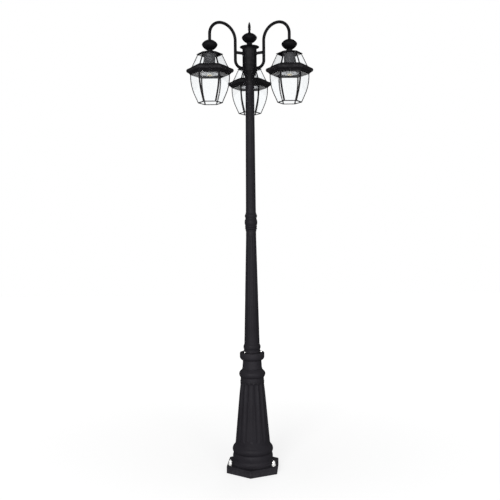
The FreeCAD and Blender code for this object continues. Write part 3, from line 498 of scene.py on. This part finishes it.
def hammered_sheet(name, centre):
    """Dimpled bright metal round a centre in plan, painted further out."""
    finish, node, wire = new_finish(name)
    tarnish_and_reflection_size, gloss_size, stain_size, dull_size = 0.011, 0.009, 0.03, 0.02
    dimples_per_metre, dimple_depth = 190.0, 0.0009
    place = node("ShaderNodeTexCoord")

    metal = node("ShaderNodeBsdfPrincipled", Metallic=1.0)
    # The dark and bright clouds in the metal's colour are partly tarnish and partly painted
    # reflections of the dark brim and lamp holder round it.
    tarnish_and_reflection = mottled(node, wire, tarnish_and_reflection_size, -0.2, 1.2, detail=5)
    wire(blend_colours(node, wire, tarnish_and_reflection, (0.09, 0.092, 0.098), (0.62, 0.63, 0.65)),
         metal.inputs["Base Color"])
    wire(mottled(node, wire, gloss_size, 0.16, 0.36), metal.inputs["Roughness"])
    dimples = node("ShaderNodeTexVoronoi", Scale=dimples_per_metre)
    wire(place.outputs["Object"], dimples.inputs["Vector"])
    wire(bumps(node, wire, (dimples.outputs["Distance"], dimple_depth)), metal.inputs["Normal"])

    paint = node("ShaderNodeBsdfPrincipled", Metallic=0.0, IOR=1.46, Specular_IOR_Level=0.02)
    stain = mottled(node, wire, stain_size, 0, 1, detail=5)
    wire(blend_colours(node, wire, stain, (0.006, 0.0055, 0.007), (0.03, 0.029, 0.032)),
         paint.inputs["Base Color"])
    wire(mottled(node, wire, dull_size, 0.5, 0.68), paint.inputs["Roughness"])

    offset = node("ShaderNodeVectorMath", operation="SUBTRACT")
    offset.inputs[1].default_value = (centre.x, centre.y, 0)
    in_plan = node("ShaderNodeVectorMath", operation="MULTIPLY")
    in_plan.inputs[1].default_value = (1, 1, 0)
    away = node("ShaderNodeVectorMath", operation="LENGTH")
    wire(place.outputs["Object"], offset.inputs[0])
    wire(offset.outputs["Vector"], in_plan.inputs[0])
    wire(in_plan.outputs["Vector"], away.inputs[0])
    painted = mapped(node, wire, away.outputs["Value"], BRIGHT_END, PAINT_START)
    either = node("ShaderNodeMixShader")
    wire(painted, either.inputs["Fac"])
    wire(metal.outputs["BSDF"], either.inputs[1])
    wire(paint.outputs["BSDF"], either.inputs[2])
    wire(either.outputs["Shader"], node("ShaderNodeOutputMaterial").inputs["Surface"])
    return finish


for side, azimuth in SIDES.items():
    centre = lantern_place(azimuth).translation
    give(hammered_sheet(f"hammered_reflector_{side}", centre), f"reflector_{side}")

# A drawn steel cup, painted dark grey, hangs from the roof in the middle of each lantern and
# hides the wires. The lamp holder inside it is glazed porcelain, and sits on the reflector by
# its flange.
housing_paint = textured_paint("housing_paint", deep=(0.017, 0.0165, 0.0185),
                               pale=(0.04, 0.039, 0.043), grain=0.0012, grain_depth=0.0002,
                               worn=0.3)


def glazed_porcelain(name):
    """White clay under a thick glaze, with faint clouds in its tone and its gloss."""
    finish, node, wire = new_finish(name)
    cloud_size, gloss_size = 0.02, 0.01
    glaze = node("ShaderNodeBsdfPrincipled", Metallic=0.0, IOR=1.5, Coat_Weight=0.5)
    clouds = mottled(node, wire, cloud_size, 0, 1)
    wire(blend_colours(node, wire, clouds, (0.52, 0.515, 0.49), (0.64, 0.635, 0.61)),
         glaze.inputs["Base Color"])
    wire(mottled(node, wire, gloss_size, 0.12, 0.25), glaze.inputs["Roughness"])
    wire(glaze.outputs["BSDF"], node("ShaderNodeOutputMaterial").inputs["Surface"])
    return finish


porcelain = glazed_porcelain("glazed_porcelain")
for side in SIDES:
    give(housing_paint, f"socket_housing_{side}")
    give(porcelain, f"lamp_holder_{side}")

# The screw shell that takes the lamp is thin brass with a rolled thread, pressed into the
# porcelain. A round brass contact stands above it, in the middle of the holder.
brass = bright_metal("contact_brass", (0.83, 0.66, 0.34), smooth=0.22, dull=0.4, spot=0.006)
SHELL_BOTTOM, SHELL_TOP = 1.9915, 2.0135
SHELL_RADIUS, SHELL_WALL = 0.0121, 0.0004
THREAD_PITCH, THREAD_WAVE = 0.0036, 0.0006
CONTACT_PROFILE = ((0.0032, 2.0169), (0.0032, 2.0155), (0.0029, 2.0149), (0.0018, 2.0143),
                   (0, 2.0141))


def rolled_shell(bm, place, rows=44, turns=48):
    """A thin tube whose wall waves in a helix, inside and out."""
    skins = []
    for wall in (0.0, SHELL_WALL):
        grid = []
        for row in range(rows + 1):
            height = SHELL_BOTTOM + (SHELL_TOP - SHELL_BOTTOM) * row / rows
            ring = []
            for step in range(turns):
                angle = math.tau * step / turns
                wave = math.sin(math.tau * height / THREAD_PITCH - angle)
                reach = SHELL_RADIUS + THREAD_WAVE * wave + wall
                spot = Vector((reach * math.cos(angle), reach * math.sin(angle), height))
                ring.append(bm.verts.new(place @ spot))
            grid.append(ring)
        skins.append(grid)
    inner, outer = skins
    bands = [*zip(inner, inner[1:]), *zip(outer, outer[1:]),
             (inner[0], outer[0]), (inner[rows], outer[rows])]
    for first, second in bands:
        for step in range(turns):
            after = (step + 1) % turns
            bm.faces.new([first[step], first[after], second[after], second[step]])


for side, azimuth in SIDES.items():
    hung = lantern_place(azimuth)
    shell = bmesh.new()
    rolled_shell(shell, hung)
    lathe(shell, CONTACT_PROFILE, place=hung, turns=24)
    finished(shell, f"screw_shell_{side}", brass, f"lantern_{side}")

# The studio has a white floor that fades into a white surround and keeps a soft shadow. It
# glows a little more where the lamps reach it less, so that it looks evenly white.
FLOOR_HALF = 9.0
FLOOR_GREY = (0.38, 0.38, 0.38, 1)
NEAR, FAR = 0.3, 4.0
GLOW_NEAR, GLOW_FAR = 0.73, 0.955


def seen_white(node, wire):
    """1 for what the camera sees, straight or in metal and glass, and 0 for other light."""
    rays = node("ShaderNodeLightPath")
    direct = node("ShaderNodeMath", operation="ADD")
    anyway = node("ShaderNodeMath", operation="ADD", use_clamp=True)
    wire(rays.outputs["Is Camera Ray"], direct.inputs[0])
    wire(rays.outputs["Is Glossy Ray"], direct.inputs[1])
    wire(direct.outputs[0], anyway.inputs[0])
    wire(rays.outputs["Is Transmission Ray"], anyway.inputs[1])
    return anyway.outputs[0]


def white_floor(name):
    """Matt grey that takes the shadow of the post, under a glow that is seen but lights nothing."""
    finish, node, wire = new_finish(name)
    matt = node("ShaderNodeBsdfDiffuse", Color=FLOOR_GREY)
    glow = node("ShaderNodeEmission")
    place = node("ShaderNodeTexCoord")
    distance = node("ShaderNodeVectorMath", operation="LENGTH")
    wire(place.outputs["Object"], distance.inputs[0])
    lift = mapped(node, wire, distance.outputs["Value"], NEAR, FAR, GLOW_NEAR, GLOW_FAR)
    wire(product(node, wire, seen_white(node, wire), lift), glow.inputs["Strength"])
    total = node("ShaderNodeAddShader")
    wire(matt.outputs["BSDF"], total.inputs[0])
    wire(glow.outputs["Emission"], total.inputs[1])
    wire(total.outputs["Shader"], node("ShaderNodeOutputMaterial").inputs["Surface"])
    return finish


floor_mesh = bpy.data.meshes.new("studio_floor")
floor_mesh.from_pydata([(-FLOOR_HALF, -FLOOR_HALF, 0), (FLOOR_HALF, -FLOOR_HALF, 0),
                        (FLOOR_HALF, FLOOR_HALF, 0), (-FLOOR_HALF, FLOOR_HALF, 0)],
                       [], [(0, 1, 2, 3)])
floor = bpy.data.objects.new("studio_floor", floor_mesh)
bpy.context.collection.objects.link(floor)
floor_mesh.materials.append(white_floor("white_floor"))

# The surround is white to the camera and in reflections, where a strength of 1 is white. It
# lights the post more gently than that, so that the paint stays deep.
SURROUND_LIGHT = 0.32
surround = bpy.data.worlds.new("white_surround")
surround.use_nodes = True
node, wire = tree_helpers(surround.node_tree)
background = surround.node_tree.nodes["Background"]
background.inputs["Color"].default_value = (1, 1, 1, 1)
level = node("ShaderNodeMath", operation="MULTIPLY_ADD")
level.inputs[1].default_value = 1 - SURROUND_LIGHT
level.inputs[2].default_value = SURROUND_LIGHT
wire(seen_white(node, wire), level.inputs[0])
wire(level.outputs[0], background.inputs["Strength"])
bpy.context.scene.world = surround

# Three soft boxes light the post: a strong one from the front left, a weaker one from the
# front right, and one from behind, above the lanterns. None of them shows through a pane.


def soft_box(name, place, aim, power, width, height):
    """A soft box of a size, turned to face a point."""
    lamp = bpy.data.lights.new(name, "AREA")
    lamp.shape = "RECTANGLE"
    lamp.size, lamp.size_y = width, height
    lamp.energy = power
    holder = bpy.data.objects.new(name, lamp)
    holder.location = place
    holder.rotation_euler = (Vector(aim) - Vector(place)).to_track_quat("-Z", "Y").to_euler()
    holder.visible_transmission = False
    bpy.context.collection.objects.link(holder)


soft_box("key_soft_box", place=(-1.1, -3.5, 1.7), aim=(0, 0, 1.0), power=78, width=1.3,
         height=2.2)
soft_box("fill_soft_box", place=(1.7, -3.3, 1.2), aim=(0, 0, 1.0), power=32, width=1.2,
         height=2.4)
soft_box("back_soft_box", place=(0.8, 3.2, 3.0), aim=(0, 0, 1.4), power=22, width=2.0,
         height=1.4)

# The camera stands 3.6 m away at chest height, looks down by two degrees and leans by half a
# degree. Its focal length is the one fitted to the photograph, in pixels of its frame.
CAMERA_PLACE = (-0.00616, -3.59397, 1.25098)
LOOKS_DOWN, LEANS = 1.95, -0.49
SENSOR, FOCAL_PIXELS, FRAME_PIXELS = 36, 704.55, 500

lens_data = bpy.data.cameras.new("front_camera")
lens_data.sensor_width = SENSOR
lens_data.lens = SENSOR * FOCAL_PIXELS / FRAME_PIXELS
camera = bpy.data.objects.new("front_camera", lens_data)
camera.location = CAMERA_PLACE
tilt = Matrix.Rotation(math.radians(90 - LOOKS_DOWN), 4, "X")
lean = Matrix.Rotation(math.radians(LEANS), 4, "Z")
camera.rotation_euler = (tilt @ lean).to_euler()
bpy.context.collection.objects.link(camera)
bpy.context.scene.camera = camera

bpy.context.scene.view_settings.view_transform = "Standard"
